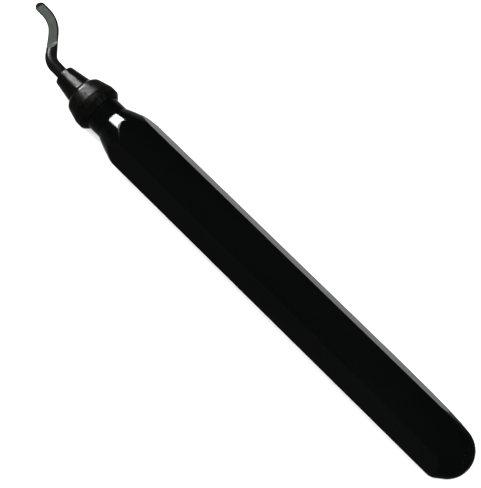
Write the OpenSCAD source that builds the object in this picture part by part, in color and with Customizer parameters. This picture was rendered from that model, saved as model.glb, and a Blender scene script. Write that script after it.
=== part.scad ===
// Hand deburring tool with a swivelling hook blade and a ball-lock collar.
// Millimetres. +X runs along the tool towards the tail, +Z is up.
// The origin is the centre of the handle flat that the tool rests on.

/* [Handle] */
// Length of the handle from the start of its shoulder to its tail
handle_len = 121.6; // [100:0.1:150]
// Width across the two side corners, before they are rounded
handle_w = 15.3; // [14:0.1:18]
// Thickness across the two wide flats
handle_h = 12.7; // [12.5:0.1:14]
// Width of the two wide flats, corner to corner
flat_w = 8.6; // [7:0.1:10]
// Radius on the long edges
edge_r = 0.7; // [0.2:0.1:1.2]
// Radius of the turned neck
neck_r = 4.85; // [4.6:0.05:4.9]
// Length of neck seen between the collar and the shoulder
neck_gap = 4.4; // [3.6:0.1:8]
// Length of the turned shoulder
shoulder_len = 8.2; // [5:0.1:12]
// Rise of the small step where the shoulder leaves the neck
shoulder_step = 0.3; // [0.2:0.1:0.6]
// Length of the tail's long side, which closes slowly on one side only
tail_len = 25; // [20:0.5:30]
// Radius about the tail's leaning axis where the long side begins
tail_side_r = 14.9; // [14:0.1:16]
// Length of the tail's blunt end
tail_end_len = 4.6; // [4:0.1:6]
// Radius where the blunt end begins
tail_end_r = 6.3; // [6:0.05:7]
// Lean of the axis that the tail is rounded about
tail_lean = 16.8; // [12:0.1:20]
// Sideways place of the tail's rounded end
tail_end_y = 1.75; // [1:0.05:2]

/* [Collar] */
// Length of the collar
sleeve_len = 14.4; // [14.2:0.1:18]
// Radius at the front of the collar's cone
sleeve_front_r = 2.8; // [2.75:0.05:3.2]
// Radius at the back of the front cone
sleeve_waist_r = 3.85; // [3.7:0.05:4]
// Radius at the front of the wide ring
sleeve_step_r = 5.3; // [4.9:0.05:5.4]
// Radius of the wide ring
sleeve_ring_r = 6.25; // [6.1:0.05:6.3]
// Radius at the collar's back edge
sleeve_back_r = 5.1; // [5.05:0.05:5.5]
// Travel of the collar from locked to released
sleeve_travel = 2.0; // [1.6:0.1:2]

/* [Blade] */
// Diameter of the blade's round shank
shank_d = 3.2; // [3.2:0.1:3.2]
// Straight shank seen in front of the collar
shank_out = 3.4; // [1:0.1:6]
// Radius of the first bend, at the shank
bend_r = 4.7; // [4:0.1:8]
// Angle of both bends
bend_deg = 46; // [40:1:65]
// Radius of the second bend, towards the tip
sweep_r = 9.3; // [7:0.1:12]
// Sideways distance from the shank's axis to the tip
hook_side = 8.8; // [8.6:0.1:11]
// Straight part at the tip, with the rounded end
tip_len = 3; // [1.6:0.1:5]
// Radius of the hook behind its tip
tip_r = 1.35; // [1.2:0.05:1.5]
// Height of the ground flat above the wire's centre
grind_h = 0.3; // [0:0.05:0.8]
// Angle by which the hook hangs below level
hook_droop = 4; // [0:1:20]
// Shank length behind the lock groove
shank_tail = 10.6; // [6:0.1:14]

/* [Lock] */
// Diameter of each lock ball
ball_d = 2.0; // [2:0.1:2]
// Lift of each ball over the collar's travel
ball_lift = 0.5; // [0.45:0.05:0.5]
// Outer radius of the steel insert
spindle_r = 3.2; // [3.2:0.1:3.2]
// Radius of the insert's front journal
journal_r = 2.0; // [2:0.05:2.05]
// Wire diameter of the return spring
spring_wire = 0.45; // [0.3:0.05:0.45]
// Turns of the return spring
spring_turns = 6; // [5:0.5:7]

/* [Hidden] */
$fn = 96;

// Radial running clearance between sliding and turning parts
fit_gap = 0.05;
// Small overlap that makes a cut run clean through a face
eps = 0.5;

// The tool's axis stands half the handle's thickness above the flat
half_h = handle_h / 2;
axis_z = half_h;
// Radius just outside the handle's corners, where the turned ends begin
outer_r = handle_w / 2 + 0.1;
// Angle by which each turned outline bends
shoulder_turn = 8;
tail_turn = 8;
tail_end_turn = 72;
shoulder_x = -handle_len / 2;
// Length of the step at the foot of the shoulder
shoulder_step_len = 0.25;
tail_x = handle_len / 2;
// The leaning end's farthest point stands a little beyond its axis
tail_end_x = tail_x - 0.22;
sleeve_back_x = shoulder_x - neck_gap;
sleeve_front_x = sleeve_back_x - sleeve_len;

// Ball seat: its centre stands at the same radius as the groove's
ball_r = ball_d / 2;
ball_rest = spindle_r - ball_r;
groove_r = ball_r + fit_gap;
// The collar's land holds the balls down, and its ramp lets them rise
land_r = spindle_r + 0.08;
land_len = ball_r + 0.2;
ramp_len = sleeve_travel + 0.5;
pocket_r = land_r + ball_lift / sleeve_travel * ramp_len;

// Lock stations along the axis, from the collar's back forwards
neck_lap = 0.3;
end_clearance = 0.2;
ball_wall = 0.5;
spring_room = 4.2;
neck_front_x = sleeve_back_x - neck_lap;
counterbore_x = neck_front_x - sleeve_travel - end_clearance;
ball_x = counterbore_x - land_len;
spindle_step_x = ball_x - ball_r - ball_wall;
pocket_front_x = spindle_step_x - sleeve_travel - end_clearance;
spring_seat_x = pocket_front_x - spring_room;
cavity_r = 2.9;
// The shank reaches back past its groove, and the insert past the shank
blade_back_x = ball_x + shank_tail;
shank_end_gap = 0.6;
insert_end_wall = 5.4;
spindle_back_x = blade_back_x + shank_end_gap + insert_end_wall;

// Retaining clip and its recess
clip_r = 2.3;
clip_t = 0.4;
clip_opening = 60;
clip_groove_r = journal_r - 0.15;
clip_groove_gap = 0.02;
recess_r = clip_r + fit_gap;
recess_depth = 1.1;
clip_x = sleeve_front_x + recess_depth - clip_t - fit_gap;
nose_x = sleeve_front_x + 0.2;

// Collar outline stations, from the back forwards
ring_back_x = sleeve_back_x - 1.3;
ring_front_x = ring_back_x - 1.8;
step_x = ring_front_x - 3.3;
step_len = 1.3;
step_low_r = sleeve_waist_r + 0.1;
waist_x = step_x - step_len - 0.2;
front_corner_len = 0.7;
front_corner_r = 0.35;

// Blade stations, measured along and across the hook
bend_x = sleeve_front_x - shank_out;
bends_side = (bend_r + sweep_r) * (1 - cos(bend_deg));
mid_len = (hook_side - bends_side) / sin(bend_deg);
shank_r = shank_d / 2;
shank_gap = 0.04;
hook_len = (bend_r + sweep_r) * sin(bend_deg) + mid_len * cos(bend_deg) + tip_len;
// The ground flat ends here, along the hook, and then slopes up to the wire's top
grind_end = -5.8;
grind_slope = 2.1;

// Lays a solid drawn about the Z axis along X, at the tool's axis
module on_axis(x = 0) {
    translate([x, 0, axis_z]) rotate([0, 90, 0]) children();
}

// A turned solid: pairs of [distance along X, radius], closed on the axis
module turned(points) {
    first = points[0][0];
    last = points[len(points) - 1][0];
    on_axis() rotate_extrude()
        polygon(concat([[0, first]], [for (p = points) [p[1], p[0]]], [[0, last]]));
}

// Points of an arc about c from angle a to angle b
function arc(c, r, a, b, n = 8) =
    [for (i = [0:n]) c + r * [cos(a + (b - a) * i / n), sin(a + (b - a) * i / n)]];

// Corners of the flattened hexagon, anticlockwise from the +Y corner
function hex_corners() = let (w = handle_w / 2, f = flat_w / 2)
    [[w, 0], [f, half_h], [-f, half_h], [-w, 0], [-f, -half_h], [f, -half_h]];

// One rounded corner of the hexagon
function hex_round(i) = let (
        c = hex_corners(), p = c[i],
        u = c[(i + 5) % 6] - p, v = c[(i + 1) % 6] - p,
        bisector = u / norm(u) + v / norm(v),
        m = bisector / norm(bisector),
        half = acos((u * v) / (norm(u) * norm(v))) / 2,
        middle = atan2(-m[1], -m[0]))
    arc(p + m * edge_r / sin(half), edge_r, middle - 90 + half, middle + 90 - half);

module hex_bar(x0, x1) {
    translate([x0, 0, axis_z]) rotate([90, 0, 90])
        linear_extrude(x1 - x0) polygon([for (i = [0:5]) each hex_round(i)]);
}

// Points of a bulging arc from p to q, which turns by the given angle on the way
function bulged(p, q, turn, n = 14) = let (
        chord = q - p, first = atan2(chord[1], chord[0]) + turn / 2,
        r = norm(chord) / (2 * sin(turn / 2)))
    [for (i = [0:n]) let (a = first - turn * i / n)
        p + r * [sin(first) - sin(a), cos(a) - cos(first)]];

// Outline of the turned shoulder, from a small step at the neck to just outside the corners
function shoulder_points() = let (foot = [shoulder_x + shoulder_step_len, neck_r + shoulder_step])
    concat([[shoulder_x, neck_r]], bulged(foot, [shoulder_x + shoulder_len, outer_r], shoulder_turn));

// Outline of the tail about its own axis: a long side arc that runs into the blunt end
function tail_points() = let (join = [-tail_end_len, tail_end_r])
    concat(bulged([-tail_end_len - tail_len, tail_side_r], join, tail_turn),
           bulged(join, [0, 0], tail_end_turn));

// The rounded tail: a body turned about an axis that leans sideways
module tail_round() {
    translate([tail_end_x, tail_end_y, 0]) rotate([0, 0, tail_lean])
        turned(concat([[-handle_len * 1.2, tail_side_r * 4], [-tail_end_len - tail_len, tail_side_r * 4]],
                      tail_points()));
}

module handle() {
    color([0.06, 0.065, 0.07]) difference() {
        union() {
            intersection() {
                hex_bar(shoulder_x, tail_x + eps);
                turned(concat(shoulder_points(), [[tail_x + 2 * eps, outer_r]]));
                tail_round();
            }
            on_axis(neck_front_x) cylinder(h = shoulder_x - neck_front_x + eps, r = neck_r);
        }
        on_axis(neck_front_x - eps)
            cylinder(h = spindle_back_x - neck_front_x + eps, r = spindle_r);
    }
}

module spindle() {
    color([0.55, 0.56, 0.58]) difference() {
        turned([
            [nose_x, journal_r], [clip_x - clip_groove_gap, journal_r],
            [clip_x - clip_groove_gap, clip_groove_r],
            [clip_x + clip_t + clip_groove_gap, clip_groove_r],
            [clip_x + clip_t + clip_groove_gap, journal_r], [spindle_step_x, journal_r],
            [spindle_step_x, spindle_r], [spindle_back_x, spindle_r]
        ]);
        on_axis(nose_x - eps)
            cylinder(h = blade_back_x + shank_end_gap - nose_x + eps, r = shank_r + shank_gap);
        translate([ball_x, spindle_r + eps, axis_z]) rotate([90, 0, 0])
            cylinder(h = 2 * (spindle_r + eps), r = ball_r + fit_gap);
    }
}

module lock_sleeve() {
    front_face_r = sleeve_front_r - front_corner_r;
    guide_r = journal_r + fit_gap;
    counterbore_r = neck_r + fit_gap;
    color([0.1, 0.1, 0.105]) difference() {
        turned(concat(
            [for (i = [0:6]) let (a = 90 * i / 6)
                [sleeve_front_x + front_corner_len * (1 - cos(a)),
                 front_face_r + front_corner_r * sin(a)]],
            [[waist_x, sleeve_waist_r]],
            [for (i = [0:8]) let (a = 90 * i / 8)
                [step_x - step_len * cos(a), step_low_r + (sleeve_step_r - step_low_r) * sin(a)]],
            [[ring_front_x, sleeve_ring_r], [ring_back_x, sleeve_ring_r],
             [sleeve_back_x, sleeve_back_r]]));
        // Recess for the clip, guide bore, spring cavity, ball pocket, ramp, land, counterbore
        turned([
            [sleeve_front_x - eps, recess_r], [sleeve_front_x + recess_depth, recess_r],
            [sleeve_front_x + recess_depth, guide_r], [spring_seat_x, guide_r],
            [spring_seat_x, cavity_r], [pocket_front_x, cavity_r], [pocket_front_x, pocket_r],
            [ball_x - ramp_len, pocket_r], [ball_x, land_r], [counterbore_x, land_r],
            [counterbore_x, counterbore_r], [sleeve_back_x + eps, counterbore_r]
        ]);
    }
}

// Faces of a tube made of rings that follow each other, closed at both ends
function tube_faces(rings, sides) = concat(
    [for (i = [0:rings - 2], j = [0:sides - 1])
        let (a = i * sides + j, b = i * sides + (j + 1) % sides)
        [a, b, b + sides, a + sides]],
    [[for (j = [sides - 1:-1:0]) j], [for (j = [0:sides - 1]) (rings - 1) * sides + j]]);

// One ring of the spring wire's outline at turn angle t, seated at height h
function spring_ring(t, h, sides = 8) = let (coil_r = (journal_r + cavity_r) / 2 + 0.02)
    [for (i = [0:sides - 1]) let (a = 360 * i / sides, r = coil_r + spring_wire / 2 * cos(a))
        [r * cos(t), r * sin(t), h + spring_wire / 2 * sin(a)]];

// Height along the spring: the first and last turns lie closed
function spring_rise(k) = let (
        closed = spring_wire + 0.03, total = spindle_step_x - spring_seat_x - spring_wire,
        turns = k * spring_turns, open = (total - 2 * closed) / (spring_turns - 2))
    spring_wire / 2 + (turns < 1 ? turns * closed
        : turns > spring_turns - 1 ? total - (spring_turns - turns) * closed
        : closed + (turns - 1) * open);

module lock_spring() {
    steps = 24 * spring_turns;
    sides = 8;
    points = [for (i = [0:steps]) each spring_ring(360 * spring_turns * i / steps, spring_rise(i / steps))];
    color([0.7, 0.7, 0.72]) on_axis(spring_seat_x)
        polyhedron(points, tube_faces(steps + 1, sides), convexity = 8);
}

module lock_ball(side) {
    color([0.75, 0.76, 0.78]) translate([ball_x, side * ball_rest, axis_z]) sphere(r = ball_r, $fn = 48);
}

module lock_ball_1() { lock_ball(1); }
module lock_ball_2() { lock_ball(-1); }

module retaining_clip() {
    color([0.35, 0.35, 0.37]) on_axis(clip_x) difference() {
        cylinder(h = clip_t, r = clip_r);
        translate([0, 0, -eps]) cylinder(h = clip_t + 2 * eps, r = clip_groove_r);
        translate([0, 0, -eps]) linear_extrude(clip_t + 2 * eps)
            polygon([[0, 0], [clip_r * 2, -clip_r * 2 * tan(clip_opening / 2)],
                     [clip_r * 2, clip_r * 2 * tan(clip_opening / 2)]]);
    }
}

// Stations along the hook, drawn flat with the shank's end at the origin and bending
// towards +Y. Each one is [x, y, angle of the wire, radius of the wire].
function hook_stations() = let (
        n = 9,
        inside = 0.3,
        root_r = shank_r - 0.02,
        mid_start = bend_r * [-sin(bend_deg), 1 - cos(bend_deg)],
        mid_end = mid_start + mid_len * [-cos(bend_deg), sin(bend_deg)],
        sweep_end = mid_end + sweep_r * [-sin(bend_deg), 1 - cos(bend_deg)],
        cap = sweep_end - [tip_len - tip_r, 0])
    concat(
        [[inside, 0, 0, root_r]],
        [for (i = [0:n]) let (a = bend_deg * i / n)
            [-bend_r * sin(a), bend_r * (1 - cos(a)), a, root_r]],
        [for (i = [0:n]) let (a = bend_deg * (1 - i / n))
            [sweep_end[0] + sweep_r * sin(a), sweep_end[1] - sweep_r * (1 - cos(a)), a, tip_r]],
        [for (i = [0:6]) let (a = 13 * i) [cap[0] - tip_r * sin(a), cap[1], 0, tip_r * cos(a)]]);

function hook_ring(q, sides) =
    [for (i = [0:sides - 1]) let (a = 360 * i / sides, c = q[3] * cos(a))
        [q[0] + c * sin(q[2]), q[1] + c * cos(q[2]), q[3] * sin(a)]];

module hook_wire() {
    sides = 28;
    rings = [for (q = hook_stations()) hook_ring(q, sides)];
    polyhedron([for (r = rings) each r], tube_faces(len(rings), sides), convexity = 6);
}

module blade() {
    clear_r = shank_r + 0.2;
    tip_x = -hook_len - 1;
    color([0.3, 0.31, 0.31]) difference() {
        union() {
            on_axis(bend_x) cylinder(h = blade_back_x - bend_x, r = shank_r);
            translate([bend_x, 0, axis_z]) rotate([-hook_droop, 0, 0]) hook_wire();
        }
        translate([ball_x, 0, axis_z]) rotate([0, 90, 0]) rotate_extrude()
            translate([ball_rest, 0]) circle(r = groove_r, $fn = 64);
        translate([bend_x, -clear_r, axis_z]) rotate([-hook_droop, 0, 0]) rotate([90, 0, 0])
            translate([0, 0, -hook_side - 3 * clear_r]) linear_extrude(hook_side + 3 * clear_r)
                polygon([[tip_x, grind_h], [grind_end, grind_h],
                         [grind_end + grind_slope, clear_r], [tip_x, clear_r]]);
    }
}

handle();
spindle();
lock_sleeve();
lock_spring();
lock_ball_1();
lock_ball_2();
retaining_clip();
blade();
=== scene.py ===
"""Looks of a hand deburring tool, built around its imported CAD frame.

The frame is in metres: +X runs to the tail, +Z is up, and the tool lies on z = 0.
Outlines are worked out in millimetres and scaled once, where a mesh is made.
"""
import math

import bpy
import numpy as np
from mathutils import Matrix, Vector


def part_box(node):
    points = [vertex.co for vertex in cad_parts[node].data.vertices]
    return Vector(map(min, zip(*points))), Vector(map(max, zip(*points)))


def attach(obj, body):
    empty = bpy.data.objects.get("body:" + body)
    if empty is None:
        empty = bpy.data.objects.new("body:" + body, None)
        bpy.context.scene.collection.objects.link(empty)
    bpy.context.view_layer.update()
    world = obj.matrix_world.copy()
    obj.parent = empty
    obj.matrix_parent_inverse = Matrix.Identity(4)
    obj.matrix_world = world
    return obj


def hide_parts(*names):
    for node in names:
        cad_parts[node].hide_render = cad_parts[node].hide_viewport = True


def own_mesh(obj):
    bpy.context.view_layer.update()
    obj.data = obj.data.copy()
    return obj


MM = 0.001
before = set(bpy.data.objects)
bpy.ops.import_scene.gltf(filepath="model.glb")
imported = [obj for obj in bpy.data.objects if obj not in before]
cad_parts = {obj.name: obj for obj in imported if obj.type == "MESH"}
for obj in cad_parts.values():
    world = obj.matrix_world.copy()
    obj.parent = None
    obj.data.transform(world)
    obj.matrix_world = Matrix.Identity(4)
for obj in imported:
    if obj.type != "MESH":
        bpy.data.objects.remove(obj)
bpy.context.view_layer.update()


def box_mm(node):
    """A CAD node's lowest and highest corner, in millimetres."""
    low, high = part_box(node)
    return np.array(low) / MM, np.array(high) / MM


# ---------------------------------------------------------------- sizes, in mm
handle_low, handle_high = box_mm("handle")
sleeve_low, sleeve_high = box_mm("lock_sleeve")
spindle_low, spindle_high = box_mm("spindle")
ball_low, ball_high = box_mm("lock_ball_1")
spring_low, spring_high = box_mm("lock_spring")

HALF_H = (handle_high[2] - handle_low[2]) / 2
AXIS_Z = handle_low[2] + HALF_H

# The collar: a mouth, a cone, a step, and a ring with a bevel behind it.
SLEEVE_FRONT_X = sleeve_low[0]
SLEEVE_BACK_X = sleeve_high[0]
MOUTH_R = 2.35
MOUTH_DEPTH = 1.1
NOSE_R = 2.78
CONE_R = 3.83
STEP_FOOT_R = 4.35
STEP_R = 5.25
STEP_LEN = 1.3
RING_SLOPE_LEN = 3.3
RING_LEN = 1.8
RING_R = (sleeve_high[2] - sleeve_low[2]) / 2
BEVEL_LEN = 1.3
BEVEL_R = 5.1
GROOVE_PITCH = 0.38
GROOVE_DEPTH = 0.02

# Inside the collar: the counterbore over the neck, the balls' pocket and the spring's bore.
TRAVEL = 2.0
CLEARANCE = 0.2
NECK_OVERLAP = 0.3
COUNTERBORE_R = 4.9
LOCK_BORE_R = 3.28
POCKET_R = 3.905
POCKET_LEN = 1.5
POCKET_SLOPE_LEN = 2.5
SPRING_BORE_R = 2.9
SPRING_BORE_LEN = 4.2
NOSE_BORE_R = 2.05
BALL_X = (ball_low[0] + ball_high[0]) / 2
BALL_R = (ball_high[0] - ball_low[0]) / 2

# The handle's flattened hexagonal bar.
HALF_W = 7.65
HALF_FLAT = 4.3
EDGE_R = 0.7
FLAT_SPLIT = 0.22

# The handle's front: the bore for the spindle, the neck and the shoulder.
NECK_FRONT_X = handle_low[0]
NECK_R = 4.85
NECK_BLEND = 0.12
BORE_R = (spindle_high[2] - spindle_low[2]) / 2
BORE_END_X = spindle_high[0]
SHOULDER_X = SLEEVE_BACK_X + 4.4
SHOULDER_LEN = 8.2
SHOULDER_TURN = 8
SHOULDER_STEP = 0.3
SHOULDER_STEP_LEN = 0.25
OUTER_R = HALF_W + 0.1

# The handle's tail: a long side and a blunt end, turned about an axis that leans to one side.
TAIL_X = handle_high[0]
TAIL_ZONE_LEN = 26
TAIL_BLEND = 0.3
BLUNT_LEN = 6.0
TAIL_SIDE_LEN = 25.0
TAIL_SIDE_R = 14.9
TAIL_SIDE_TURN = 8
TAIL_END_LEN = 4.6
TAIL_END_R = 6.3
TAIL_END_TURN = 72
TAIL_END_X = TAIL_X - 0.25
TAIL_END_Y = 1.75
TAIL_LEAN = math.radians(16.8)
TAIL_FAR_Y = -0.1
# Painted shade: how far the tail's weakly reflecting copy of the black reaches past the turned surface, on
# the +Y flat only.
TAIL_SHADE_MARGIN = 0.45

# The blade: a round shank with a lock groove, and a hook of two bends, ground flat on top.
SHANK_BACK_X = box_mm("blade")[1][0]
SHANK_R = 1.6
SHANK_CHAMFER = 0.35
HOOK_DROOP = math.radians(4)
BEND_X = SLEEVE_FRONT_X - 3.4
BEND_R = 4.7
BEND_ANGLE = math.radians(46)
BEND_TAPER = 0.4
SWEEP_R = 9.3
HOOK_SIDE = 8.8
TIP_LEN = 2.95
TIP_R = 1.32
GRIND_H = 0.32
# Painted shade: a band along the ground flat's edges keeps the dark wire's material. It is wider on the +Y
# side and fades out up the run-out.
FLAT_EDGE_SHADE_H = 0.3
FAR_FLAT_EDGE_SHADE_H = 0.7
FLAT_EDGE_SHADE_FADE = 0.3
RUNOUT_X = -5.8
RUNOUT_Y = 2.9
RUNOUT_LEAN = 0.28
RUNOUT_SLOPE = 0.36
CREASE_Y = 3.4
CREASE_HALF_W = 1.3

# The return spring.
WIRE_R = 0.225
COIL_R = 2.47
COIL_TURNS = 6


# ---------------------------------------------------------------- mesh helpers
def smooth_min(a, b, k):
    """The lower of two lengths, blended over a width k where they are close."""
    h = np.maximum(k - np.abs(a - b), 0) / k
    return np.minimum(a, b) - h * h * k / 4


def bulged(p, q, turn, n):
    """Points of an arc from p to q that turns by the given angle on the way."""
    p, q = np.array(p, float), np.array(q, float)
    chord, turn = q - p, math.radians(turn)
    first = math.atan2(chord[1], chord[0]) + turn / 2
    r = np.hypot(*chord) / (2 * math.sin(turn / 2))
    a = first - turn * np.arange(n + 1) / n
    return p + r * np.stack([math.sin(first) - np.sin(a), np.cos(a) - math.cos(first)], -1)


def rounded(points, n=6):
    """An open outline of [x, r, corner radius] whose corners are turned into arcs."""
    out = [np.array(points[0][:2], float)]
    for before, here, after in zip(points, points[1:], points[2:]):
        p = np.array(here[:2], float)
        u, v = np.array(before[:2]) - p, np.array(after[:2]) - p
        lu, lv = np.hypot(*u), np.hypot(*v)
        u, v = u / lu, v / lv
        half = math.acos(max(-1, min(1, float(u @ v)))) / 2
        if here[2] <= 0 or abs(half - math.pi / 2) < 0.01:
            out.append(p)
            continue
        run = min(here[2] / math.tan(half), 0.49 * lu, 0.49 * lv)
        r = run * math.tan(half)
        bisector = (u + v) / np.hypot(*(u + v))
        centre = p + bisector * r / math.sin(half)
        a, b = p + u * run - centre, p + v * run - centre
        start = math.atan2(a[1], a[0])
        sweep = (math.atan2(b[1], b[0]) - start + math.pi) % (2 * math.pi) - math.pi
        out += [centre + r * np.array([math.cos(t), math.sin(t)])
                for t in np.linspace(start, start + sweep, n + 1)]
    out.append(np.array(points[-1][:2], float))
    return np.array(out)


def add_object(name, verts, faces, smooth_angle=30):
    """Makes an object from points in millimetres, with edges sharper than the angle kept crisp."""
    mesh = bpy.data.meshes.new(name)
    mesh.from_pydata((np.array(verts) * MM).tolist(), [], faces)
    mesh.validate()
    mesh.update()
    obj = bpy.data.objects.new(name, mesh)
    bpy.context.scene.collection.objects.link(obj)
    mesh.shade_smooth()
    mesh.set_sharp_from_angle(angle=math.radians(smooth_angle))
    return obj


def tube_faces(rings, sides, loop=False):
    """Quads between rings of points; a loop joins the last ring to the first."""
    faces = []
    for i in range(rings if loop else rings - 1):
        a, b = i * sides, (i + 1) % rings * sides
        faces += [(a + j, a + (j + 1) % sides, b + (j + 1) % sides, b + j) for j in range(sides)]
    return faces


def tube(name, rings, smooth_angle=30):
    """A closed tube through rings of points, with a fan of triangles at each end."""
    rings = np.array(rings)
    n, sides = rings.shape[:2]
    verts = np.vstack([rings.reshape(-1, 3), rings[0].mean(0), rings[-1].mean(0)])
    faces = tube_faces(n, sides)
    last = (n - 1) * sides
    faces += [(n * sides, (j + 1) % sides, j) for j in range(sides)]
    faces += [(n * sides + 1, last + j, last + (j + 1) % sides) for j in range(sides)]
    return add_object(name, verts, faces, smooth_angle)


def circle_ring(x, r, sides):
    a = np.arange(sides) * 2 * math.pi / sides
    return np.stack([np.full(sides, x), r * np.cos(a), AXIS_Z + r * np.sin(a)], -1)


def turned_ring(name, outline, sides=192, smooth_angle=30):
    """A solid of revolution about the tool's axis, from a closed outline of [x, r]."""
    rings = np.array([circle_ring(x, r, sides) for x, r in outline])
    return add_object(name, rings.reshape(-1, 3), tube_faces(len(rings), sides, loop=True), smooth_angle)


# ---------------------------------------------------------------- handle
def hex_outline():
    """The handle's section as [y, z] about its axis: rounded corners and finely split flats."""
    corners = np.array([[HALF_W, 0], [HALF_FLAT, HALF_H], [-HALF_FLAT, HALF_H],
                        [-HALF_W, 0], [-HALF_FLAT, -HALF_H], [HALF_FLAT, -HALF_H]])
    arcs = []
    for i, p in enumerate(corners):
        u, v = corners[i - 1] - p, corners[(i + 1) % 6] - p
        u, v = u / np.hypot(*u), v / np.hypot(*v)
        half = math.acos(u @ v) / 2
        m = (u + v) / np.hypot(*(u + v))
        centre = p + m * EDGE_R / math.sin(half)
        middle, spread = math.atan2(-m[1], -m[0]), math.pi / 2 - half
        t = np.linspace(middle - spread, middle + spread, 9)
        arcs.append(centre + EDGE_R * np.stack([np.cos(t), np.sin(t)], -1))
    points = []
    for arc, following in zip(arcs, arcs[1:] + arcs[:1]):
        points += list(arc)
        steps = int(np.hypot(*(following[0] - arc[-1])) / FLAT_SPLIT)
        points += [arc[-1] + (following[0] - arc[-1]) * k / steps for k in range(1, steps)]
    return np.array(points)


def neck_stations():
    """[x, radius] from the bore's end, out over the neck and up the shoulder."""
    foot = np.array([SHOULDER_X + SHOULDER_STEP_LEN, NECK_R + SHOULDER_STEP])
    neck = rounded([
        [BORE_END_X, 0, 0], [BORE_END_X, BORE_R, 0], [NECK_FRONT_X, BORE_R, 0.15],
        [NECK_FRONT_X, NECK_R, 0.3], [SHOULDER_X, NECK_R, 0.3], [*foot, 0.3], [*(foot + [0.9, 0.35]), 0]])
    shoulder = bulged(foot, [SHOULDER_X + SHOULDER_LEN, OUTER_R], SHOULDER_TURN, 70)
    return list(neck[1:-1]) + [p for p in shoulder if p[0] > neck[-2][0] + 0.05]


def tail_radius(back):
    """Radius of the rounded tail at distances back from the end of its leaning axis."""
    corner = [TAIL_END_LEN, TAIL_END_R]
    side = bulged([TAIL_END_LEN + TAIL_SIDE_LEN, TAIL_SIDE_R], corner, -TAIL_SIDE_TURN, 60)
    end = bulged(corner, [0, 0], -TAIL_END_TURN, 160)
    outline = np.vstack([end[::-1], side[::-1][1:]])
    return np.interp(back, outline[:, 0], outline[:, 1], left=0, right=4 * TAIL_SIDE_R)


def tail_reach(x, rays):
    """How far each ray goes, at station x, before it leaves the rounded tail."""
    low, high = np.zeros(len(rays)), np.full(len(rays), 2 * HALF_W)
    c, s = math.cos(TAIL_LEAN), math.sin(TAIL_LEAN)
    for _ in range(34):
        reach = (low + high) / 2
        dx, dy = x - TAIL_END_X, TAIL_FAR_Y + reach * rays[:, 0] - TAIL_END_Y
        inside = np.hypot(dy * c - dx * s, reach * rays[:, 1]) < tail_radius(-(dx * c + dy * s))
        low, high = np.where(inside, reach, low), np.where(inside, high, reach)
    return low


def section_ring(x, section):
    """Places a section's [y, z] points at station x."""
    return np.stack([np.full(len(section), x), section[:, 0], section[:, 1] + AXIS_Z], -1)


def front_rings(section):
    """The bore, the neck and the shoulder, then the plain bar up to the tail."""
    stations = neck_stations()
    reach = np.hypot(section[:, 0], section[:, 1])
    rings = []
    for x, limit in stations:
        kept = smooth_min(reach, np.full_like(reach, limit), NECK_BLEND)
        rings.append(section_ring(x, section * (kept / reach)[:, None]))
    bar = np.linspace(stations[-1][0] + 0.2, TAIL_X - TAIL_ZONE_LEN, 24)
    return rings + [section_ring(x, section) for x in bar]


def tail_rings(section):
    """The tail's rings, and for each of them which points take the tail's weakly reflecting copy of the
    black, a painted shade: its turned surface and a margin of the +Y flat beside it.
    """
    blunt = TAIL_END_X + 0.2 - BLUNT_LEN * np.linspace(1, 0.02, 90) ** 2
    side = np.arange(TAIL_X - TAIL_ZONE_LEN + 0.3, blunt[0] - 0.1, 0.25)
    spokes = section - [TAIL_FAR_Y, 0]
    reach = np.hypot(spokes[:, 0], spokes[:, 1])
    margin = np.where(section[:, 0] > 0, TAIL_SHADE_MARGIN, 0)
    rings, turned = [], []
    for x in np.concatenate([side, blunt]):
        limit = tail_reach(x, spokes / reach[:, None])
        kept = smooth_min(reach, limit, TAIL_BLEND)
        turned.append(limit < reach + margin)
        p = spokes * (np.maximum(kept, 0.02) / reach)[:, None]
        rings.append(section_ring(x, p + [TAIL_FAR_Y, 0]))
    return rings, turned


def make_handle():
    section = hex_outline()
    front = front_rings(section)
    tail, turned = tail_rings(section)
    obj = tube("handle_body", front + tail, smooth_angle=40)
    obj.data.materials.append(handle_black("handle_black", 1.036))
    # Painted shade: the tail takes a copy of the black with a much weaker reflection, and so does a strip
    # of the +Y flat beside it.
    obj.data.materials.append(handle_black("handle_black_tail_shade", 1.012))
    flags = np.array([np.zeros(len(section), bool)] * len(front) + turned).reshape(-1)
    for poly in obj.data.polygons:
        poly.material_index = int(all(v >= len(flags) or flags[v] for v in poly.vertices))
    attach(obj, "handle")
    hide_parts("handle")
    return obj


# ---------------------------------------------------------------- collar
def sleeve_outline():
    """Closed outline of the collar as [x, r]: outside from front to back, then the bores."""
    front, back = SLEEVE_FRONT_X, SLEEVE_BACK_X
    ring_back = back - BEVEL_LEN
    ring_front = ring_back - RING_LEN
    step = ring_front - RING_SLOPE_LEN
    step_foot = step - STEP_LEN
    outside = rounded([
        [front, MOUTH_R, 0], [front, NOSE_R, 0.32], [step_foot - 0.2, CONE_R, 0.2],
        [step_foot, STEP_FOOT_R, 0.2], [step - 0.45, STEP_R, 0.9], [ring_front, RING_R, 0.9],
        [ring_back, RING_R, 0.3], [back, BEVEL_R, 0.1], [back, COUNTERBORE_R, 0]], 8)
    counterbore = back - NECK_OVERLAP - TRAVEL - CLEARANCE
    pocket_front = BALL_X - POCKET_LEN - TRAVEL - CLEARANCE
    seat = pocket_front - SPRING_BORE_LEN
    inside = [
        [counterbore, COUNTERBORE_R], [counterbore, LOCK_BORE_R], [BALL_X, LOCK_BORE_R],
        [BALL_X - POCKET_SLOPE_LEN, POCKET_R], [pocket_front, POCKET_R],
        [pocket_front, SPRING_BORE_R], [seat, SPRING_BORE_R], [seat, NOSE_BORE_R],
        [front + MOUTH_DEPTH, NOSE_BORE_R], [front + MOUTH_DEPTH, MOUTH_R]]
    return np.vstack([outside, inside])


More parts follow.
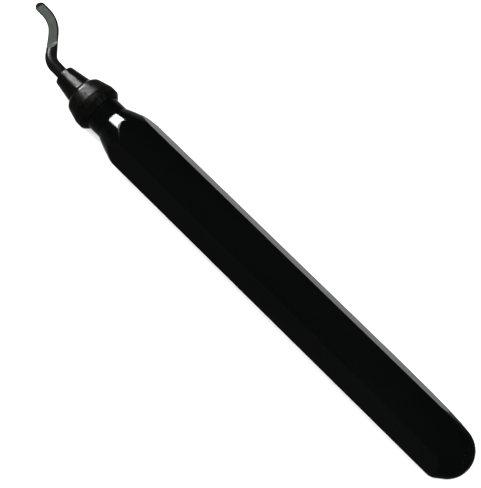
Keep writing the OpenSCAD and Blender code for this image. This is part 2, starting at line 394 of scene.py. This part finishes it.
def cut_grooves(outline, x0, x1, pitch, depth):
    """Adds fine turning grooves to an outline between two places along the axis."""
    out = []
    for p, q in zip(outline, np.roll(outline, -1, axis=0)):
        out.append(p)
        steps = int((q[0] - p[0]) / (pitch / 6)) if q[0] > p[0] and x0 <= p[0] and q[0] <= x1 else 0
        for k in range(1, steps):
            s = p + (q - p) * k / steps
            out.append(s - [0, depth * (0.5 - 0.5 * math.cos(2 * math.pi * s[0] / pitch))])
    return np.array(out)


def make_sleeve():
    ring_front = SLEEVE_BACK_X - BEVEL_LEN - RING_LEN
    grooved = cut_grooves(sleeve_outline(), ring_front - 3.2, ring_front - 0.1, GROOVE_PITCH, GROOVE_DEPTH)
    obj = turned_ring("collar_shell", grooved)
    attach(obj, "collar")
    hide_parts("lock_sleeve")
    return obj


# ---------------------------------------------------------------- blade
def taper(k):
    """Radius of the wire as it narrows from the shank (k = 0) to the tip (k = 1)."""
    return SHANK_R + (TIP_R - SHANK_R) * k * k * (3 - 2 * k)


def hook_line():
    """The hook's centre line as [x, y, angle, wire radius], from the shank's end to the tip."""
    mid_start = BEND_R * np.array([-math.sin(BEND_ANGLE), 1 - math.cos(BEND_ANGLE)])
    side_of_bends = (BEND_R + SWEEP_R) * (1 - math.cos(BEND_ANGLE))
    mid_len = (HOOK_SIDE - side_of_bends) / math.sin(BEND_ANGLE)
    along = np.array([-math.cos(BEND_ANGLE), math.sin(BEND_ANGLE)])
    mid_end = mid_start + mid_len * along
    sweep_end = mid_end + SWEEP_R * np.array([-math.sin(BEND_ANGLE), 1 - math.cos(BEND_ANGLE)])
    cap = sweep_end - [TIP_LEN - TIP_R, 0]
    line = []
    for k in np.linspace(0, 1, 40):
        a = BEND_ANGLE * k
        line.append([-BEND_R * math.sin(a), BEND_R * (1 - math.cos(a)), a, taper(BEND_TAPER * k)])
    for k in np.linspace(0, 1, 100)[1:-1]:
        line.append([*(mid_start + (mid_end - mid_start) * k), BEND_ANGLE,
                     taper(BEND_TAPER + (1 - BEND_TAPER) * k)])
    for a in np.linspace(BEND_ANGLE, 0, 56):
        line.append([sweep_end[0] + SWEEP_R * math.sin(a),
                     sweep_end[1] - SWEEP_R * (1 - math.cos(a)), a, TIP_R])
    for k in np.linspace(0, 1, 8)[1:]:
        line.append([*(sweep_end + (cap - sweep_end) * k), 0, TIP_R])
    for a in np.linspace(0, math.pi / 2, 18)[1:-1]:
        line.append([cap[0] - TIP_R * math.sin(a), cap[1], 0, TIP_R * math.cos(a)])
    return np.array(line)


def grind_height(x, y):
    """Height of the ground surface over the wire's centre: a flat, then a run-out.

    The crease between them is sharp in the middle of the wire and soft at its edges.
    """
    past_flat = x - RUNOUT_X - RUNOUT_LEAN * (y - RUNOUT_Y)
    softness = 0.03 + 0.22 * np.minimum(((y - CREASE_Y) / CREASE_HALF_W) ** 4, 1)
    return GRIND_H + (past_flat + np.hypot(past_flat, softness)) * RUNOUT_SLOPE


def shank_stations():
    """[x, radius] of the straight shank, from its hidden end with the lock groove to the bend."""
    back = SHANK_BACK_X
    groove_r, seat = BALL_R + 0.05, (ball_low[1] + ball_high[1]) / 2
    half = math.sqrt(groove_r ** 2 - (seat - SHANK_R) ** 2)
    groove = [[BALL_X + s, seat - math.sqrt(groove_r ** 2 - s * s)] for s in np.linspace(half, -half, 17)]
    return ([[back, SHANK_R - SHANK_CHAMFER], [back - SHANK_CHAMFER, SHANK_R]]
            + [[x, SHANK_R] for x in np.linspace(back - 2, BALL_X + half + 0.3, 4)]
            + groove
            + [[x, SHANK_R] for x in np.linspace(BALL_X - half - 0.3, BEND_X + 0.2, 12)])


def make_blade():
    """The blade, with a second material on the ground flat inside a thin dark band of painted shade along
    its edges.
    """
    sides = 72
    a = np.arange(sides) * 2 * math.pi / sides
    rings, ground = [], []
    for x, r in shank_stations():
        rings.append(circle_ring(x, r, sides))
        ground.append(np.zeros(sides, bool))
    c, s = math.cos(HOOK_DROOP), math.sin(HOOK_DROOP)
    for x, y, angle, r in hook_line():
        px = x + r * np.cos(a) * math.sin(angle)
        py = y + r * np.cos(a) * math.cos(angle)
        pz = r * np.sin(a)
        cut = grind_height(px, py)
        # Painted shade: flat points near the flat's edge, and on the narrowing tip, keep the dark
        # material.
        edge_shade = np.where(np.cos(a) > 0, FAR_FLAT_EDGE_SHADE_H, FLAT_EDGE_SHADE_H) * np.clip(1 - (cut - GRIND_H) / FLAT_EDGE_SHADE_FADE, 0, 1)
        ground.append((pz > cut + edge_shade) & (r > 0.985 * TIP_R))
        pz = np.minimum(pz, cut)
        rings.append(np.stack([BEND_X + px, py * c + pz * s, AXIS_Z - py * s + pz * c], -1))
    obj = tube("hook_blade", rings, smooth_angle=24)
    flags = np.array(ground).reshape(-1)
    for material in (blade_black(), blade_ground()):
        obj.data.materials.append(material)
    for poly in obj.data.polygons:
        inside = [flags[v] for v in poly.vertices if v < len(flags)]
        poly.material_index = int(sum(inside) >= 2)
    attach(obj, "blade")
    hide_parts("blade")
    return obj


# ---------------------------------------------------------------- inner pieces
def make_spring():
    """The return spring, closed at both ends."""
    sides, steps = 14, 60
    x0, x1 = spring_low[0] + WIRE_R, spring_high[0] - WIRE_R
    closed_pitch = 2 * WIRE_R + 0.03
    open_pitch = (x1 - x0 - 2 * closed_pitch) / (COIL_TURNS - 2)
    rings = []
    for i in range(steps * COIL_TURNS + 1):
        turn = i / steps
        first, last = min(turn, 1), max(turn - COIL_TURNS + 1, 0)
        middle = min(max(turn - 1, 0), COIL_TURNS - 2)
        x = x0 + first * closed_pitch + middle * open_pitch + last * closed_pitch
        t = 2 * math.pi * turn
        ring = []
        for k in range(sides):
            b = -2 * math.pi * k / sides
            r = COIL_R + WIRE_R * math.cos(b)
            ring.append([x + WIRE_R * math.sin(b), r * math.cos(t), AXIS_Z + r * math.sin(t)])
        rings.append(ring)
    obj = tube("return_spring", rings, smooth_angle=50)
    obj.data.materials.append(spring_steel())
    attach(obj, "handle")
    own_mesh(obj)
    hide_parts("lock_spring")
    return obj


# ---------------------------------------------------------------- materials
class Shader:
    """A small node-tree writer around one Principled shader."""

    def __init__(self, name, **sockets):
        self.material = bpy.data.materials.new(name)
        self.material.use_nodes = True
        self.tree = self.material.node_tree
        self.main = self.tree.nodes["Principled BSDF"]
        for socket, value in sockets.items():
            self.main.inputs[socket.replace("_", " ")].default_value = value
        self.place = self.node("ShaderNodeTexCoord").outputs["Object"]

    def node(self, kind, **settings):
        node = self.tree.nodes.new(kind)
        for key, value in settings.items():
            setattr(node, key, value)
        return node

    def link(self, source, target):
        self.tree.links.new(source, target)

    def drive(self, socket, source):
        """Feeds one of the Principled shader's own sockets."""
        self.link(source, self.main.inputs[socket])

    def stretched(self, scale):
        node = self.node("ShaderNodeMapping")
        node.inputs["Scale"].default_value = scale
        self.link(self.place, node.inputs["Vector"])
        return node.outputs["Vector"]

    def noise(self, scale, stretch=(1, 1, 1), detail=3.0):
        node = self.node("ShaderNodeTexNoise")
        node.inputs["Scale"].default_value = scale
        node.inputs["Detail"].default_value = detail
        self.link(self.stretched(stretch), node.inputs["Vector"])
        return node.outputs["Fac"]

    def ramp(self, source, stops):
        node = self.node("ShaderNodeValToRGB")
        elements = node.color_ramp.elements
        while len(elements) < len(stops):
            elements.new(0.5)
        for element, (at, colour) in zip(elements, stops):
            element.position = at
            element.color = (*colour, 1)
        self.link(source, node.inputs["Fac"])
        return node.outputs["Color"]

    def spread(self, source, low, high):
        """Maps a 0..1 value to low..high."""
        node = self.node("ShaderNodeMapRange")
        node.inputs["To Min"].default_value = low
        node.inputs["To Max"].default_value = high
        self.link(source, node.inputs["Value"])
        return node.outputs["Result"]

    def combine(self, operation, a, b):
        """Adds or multiplies two values."""
        node = self.node("ShaderNodeMath", operation=operation)
        self.link(a, node.inputs[0])
        self.link(b, node.inputs[1])
        return node.outputs[0]

    def clouded(self, scale, dark, light, smooth, rough):
        """Soft clouds that take the colour from dark to light and the surface from smooth to rough."""
        cloud = self.noise(scale)
        self.drive("Base Color", self.ramp(cloud, [(0.3, dark), (0.7, light)]))
        self.drive("Roughness", self.spread(cloud, smooth, rough))

    def worn_edges(self, colour, worn):
        """Blends a colour towards a worn one along the mesh's sharp edges, broken up by noise."""
        pointed = self.ramp(self.node("ShaderNodeNewGeometry").outputs["Pointiness"],
                            [(0.51, (0, 0, 0)), (0.57, (1, 1, 1))])
        patchy = self.combine("MULTIPLY", pointed, self.noise(900.0, detail=4.0))
        mix = self.node("ShaderNodeMix", data_type="RGBA")
        mix.inputs["B"].default_value = (*worn, 1)
        self.link(patchy, mix.inputs["Factor"])
        self.link(colour, mix.inputs["A"])
        self.drive("Base Color", mix.outputs["Result"])

    def bump(self, *layers):
        """Stacks bump layers, each (height source, strength, distance in metres)."""
        normal = None
        for source, strength, distance in layers:
            node = self.node("ShaderNodeBump")
            node.inputs["Strength"].default_value = strength
            node.inputs["Distance"].default_value = distance
            self.link(source, node.inputs["Height"])
            if normal:
                self.link(normal, node.inputs["Normal"])
            normal = node.outputs["Normal"]
        self.drive("Normal", normal)

    def rings(self, pitch):
        """Turning marks: bands across the X axis at a pitch in metres, a little uneven."""
        wave = self.node("ShaderNodeTexWave", wave_type="BANDS", bands_direction="X", wave_profile="SIN")
        wave.inputs["Scale"].default_value = 2 * math.pi / (20 * pitch)
        wave.inputs["Distortion"].default_value = 0.6
        wave.inputs["Detail"].default_value = 2.0
        wave.inputs["Detail Scale"].default_value = 400.0
        self.link(self.place, wave.inputs["Vector"])
        return wave.outputs["Fac"]


def handle_black(name, ior):
    """Black anodised aluminium: satin, with draw lines along the bar and a fine etched grain."""
    s = Shader(name, Metallic=0.0, IOR=ior)
    draw = s.noise(1.0, (90, 5200, 5200), 2.0)
    grain = s.noise(9000.0, detail=4.0)
    patch = s.noise(70.0, (0.35, 1, 1), 3.0)
    s.worn_edges(s.ramp(patch, [(0.3, (0.0008, 0.0009, 0.0009)), (0.7, (0.0013, 0.0014, 0.0014))]),
                 (0.0045, 0.0045, 0.0044))
    s.drive("Roughness", s.spread(patch, 0.08, 0.12))
    s.bump((grain, 0.16, 0.00002), (draw, 0.10, 0.00002))
    return s.material


def sleeve_black():
    """Blackened turned steel, rougher and duller on the ring than on the cone in front of it."""
    s = Shader("sleeve_black", Metallic=0.0, IOR=1.032)
    cloud = s.noise(420.0, detail=4.0)
    s.worn_edges(s.ramp(cloud, [(0.3, (0.0009, 0.0010, 0.0009)), (0.7, (0.0022, 0.0022, 0.0020))]),
                 (0.006, 0.006, 0.0055))
    split = s.node("ShaderNodeSeparateXYZ")
    s.link(s.place, split.inputs[0])
    on_ring = s.node("ShaderNodeMapRange")
    step = SLEEVE_BACK_X - BEVEL_LEN - RING_LEN - RING_SLOPE_LEN
    on_ring.inputs["From Min"].default_value = (step - 0.2) * MM
    on_ring.inputs["From Max"].default_value = (step + 0.2) * MM
    s.link(split.outputs["X"], on_ring.inputs["Value"])
    on_ring = on_ring.outputs["Result"]
    s.drive("Roughness", s.combine("ADD", s.spread(cloud, 0.12, 0.22), s.spread(on_ring, 0, 0.16)))
    worn = s.noise(1.0, (3600, 1700, 1700), 4.0)
    shine = s.ramp(worn, [(0.38, (0.12, 0.12, 0.12)), (0.62, (0.9, 0.9, 0.9))])
    s.drive("Specular IOR Level", s.combine("MULTIPLY", shine, s.spread(on_ring, 1, 0.5)))
    s.bump((s.rings(0.00016), 0.5, 0.00001), (worn, 1.0, 0.00004), (s.noise(5200.0), 0.2, 0.00001))
    return s.material


def blade_black():
    """Dark hardened wire: thin oxide over a smooth drawn surface."""
    s = Shader("blade_black", Metallic=0.0, IOR=1.025)
    s.clouded(600.0, (0.0022, 0.0022, 0.0024), (0.0044, 0.0044, 0.0046), 0.22, 0.34)
    s.bump((s.noise(6000.0), 0.12, 0.00001))
    return s.material


def blade_ground():
    """The ground flat: grey steel with fine grinding marks across the hook."""
    s = Shader("blade_ground", Metallic=0.0, IOR=1.1)
    marks = s.noise(1.0, (14000, 700, 700))
    cloud = s.noise(380.0)
    s.drive("Base Color", s.ramp(cloud, [(0.3, (0.030, 0.035, 0.032)), (0.7, (0.043, 0.048, 0.044))]))
    s.drive("Roughness", s.spread(marks, 0.08, 0.13))
    s.bump((marks, 0.05, 0.000004))
    return s.material


def insert_steel():
    """The spindle, whose end shows in the collar's mouth: dark phosphated steel."""
    s = Shader("insert_steel", Metallic=0.0, IOR=1.04)
    s.clouded(500.0, (0.030, 0.031, 0.032), (0.050, 0.050, 0.051), 0.2, 0.34)
    s.bump((s.rings(0.00012), 0.3, 0.000005))
    return s.material


def spring_steel():
    """Oil-tempered spring wire."""
    s = Shader("spring_steel", Metallic=0.0, IOR=1.05)
    s.clouded(900.0, (0.13, 0.13, 0.135), (0.19, 0.19, 0.19), 0.18, 0.3)
    s.bump((s.noise(5000.0), 0.15, 0.00001))
    return s.material


def ball_steel():
    """Polished bearing balls."""
    s = Shader("ball_steel", Metallic=0.0, IOR=1.08)
    s.clouded(1500.0, (0.30, 0.30, 0.31), (0.38, 0.38, 0.38), 0.04, 0.1)
    s.bump((s.noise(4000.0), 0.05, 0.000005))
    return s.material


def clip_steel():
    """Blackened clip wire."""
    s = Shader("clip_steel", Metallic=0.0, IOR=1.04)
    s.clouded(1200.0, (0.010, 0.010, 0.011), (0.022, 0.022, 0.023), 0.35, 0.5)
    s.bump((s.noise(6000.0), 0.2, 0.00001))
    return s.material


def dress(node, material):
    """Gives a CAD node that stays in view its material."""
    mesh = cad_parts[node].data
    mesh.materials.clear()
    mesh.materials.append(material)


# ---------------------------------------------------------------- stage
def make_floor():
    """A white table without a gloss of its own, so the front lamps don't light it."""
    half = 6.0
    mesh = bpy.data.meshes.new("floor")
    corners = [(-half, -half, 0), (half, -half, 0), (half, half, 0), (-half, half, 0)]
    mesh.from_pydata(corners, [], [(0, 1, 2, 3)])
    obj = bpy.data.objects.new("floor", mesh)
    bpy.context.scene.collection.objects.link(obj)
    s = Shader("floor_white", Roughness=0.9, IOR=1.0)
    s.drive("Base Color", s.ramp(s.noise(3.0), [(0.3, (0.86, 0.86, 0.86)), (0.7, (0.88, 0.88, 0.88))]))
    mesh.materials.append(s.material)


def area_light(name, toward, distance, size, radiance, seen_by):
    """A softbox in a given direction from the collar; seen_by is "glossy" or "diffuse" surfaces."""
    data = bpy.data.lights.new(name, "AREA")
    data.shape = "RECTANGLE"
    data.size, data.size_y = size
    data.energy = radiance * math.pi * size[0] * size[1]
    obj = bpy.data.objects.new(name, data)
    toward = Vector(toward).normalized()
    obj.location = Vector((SLEEVE_BACK_X * MM, 0, AXIS_Z * MM)) + toward * distance
    obj.rotation_mode = "QUATERNION"
    obj.rotation_quaternion = (-toward).to_track_quat("-Z", "Y")
    obj.visible_diffuse = seen_by == "diffuse"
    obj.visible_glossy = seen_by == "glossy"
    bpy.context.scene.collection.objects.link(obj)
    return obj


def make_world():
    """Studio surround: bright towards the horizon, dim overhead, so flat tops read dark."""
    world = bpy.data.worlds.new("studio")
    bpy.context.scene.world = world
    world.use_nodes = True
    tree = world.node_tree
    coord = tree.nodes.new("ShaderNodeTexCoord")
    split = tree.nodes.new("ShaderNodeSeparateXYZ")
    ramp = tree.nodes.new("ShaderNodeValToRGB")
    stops = [(0.0, 0.5), (0.3, 0.4), (0.6, 0.08), (1.0, 0.05)]
    elements = ramp.color_ramp.elements
    while len(elements) < len(stops):
        elements.new(0.5)
    for element, (at, value) in zip(elements, stops):
        element.position = at
        element.color = (value, value, value, 1)
    tree.links.new(coord.outputs["Generated"], split.inputs[0])
    tree.links.new(split.outputs["Z"], ramp.inputs["Fac"])
    tree.links.new(ramp.outputs["Color"], tree.nodes["Background"].inputs["Color"])
    tree.nodes["Background"].inputs["Strength"].default_value = 1.0


def make_camera():
    azimuth, elevation, distance = math.radians(46.92), math.radians(66.0), 0.460
    target = Vector((-0.01588, 0.00067, 0.00635))
    back = Vector((math.sin(azimuth) * math.cos(elevation),
                   -math.cos(azimuth) * math.cos(elevation), math.sin(elevation)))
    data = bpy.data.cameras.new("camera")
    data.sensor_width = 36.0
    data.lens = 141.2
    data.clip_start, data.clip_end = 0.01, 20.0
    camera = bpy.data.objects.new("camera", data)
    camera.location = target + back * distance
    camera.rotation_mode = "QUATERNION"
    camera.rotation_quaternion = (-back).to_track_quat("-Z", "Y")
    bpy.context.scene.collection.objects.link(camera)
    bpy.context.scene.camera = camera


make_camera()
make_floor()
make_world()
bpy.context.scene.view_settings.view_transform = "Standard"
area_light("overhead", (0.1, -0.1, 1), 1.6, (3.2, 3.2), 4.6, "diffuse")
area_light("front_low", (-0.89, 0.14, 0.43), 1.0, (0.60, 0.30), 2200, "glossy")
area_light("front_high", (-0.66, 0.08, 0.75), 1.0, (0.26, 0.17), 900, "glossy")

make_handle()
make_sleeve().data.materials.append(sleeve_black())
make_blade()
make_spring()
dress("spindle", insert_steel())
dress("lock_ball_1", ball_steel())
dress("lock_ball_2", ball_steel())
dress("retaining_clip", clip_steel())
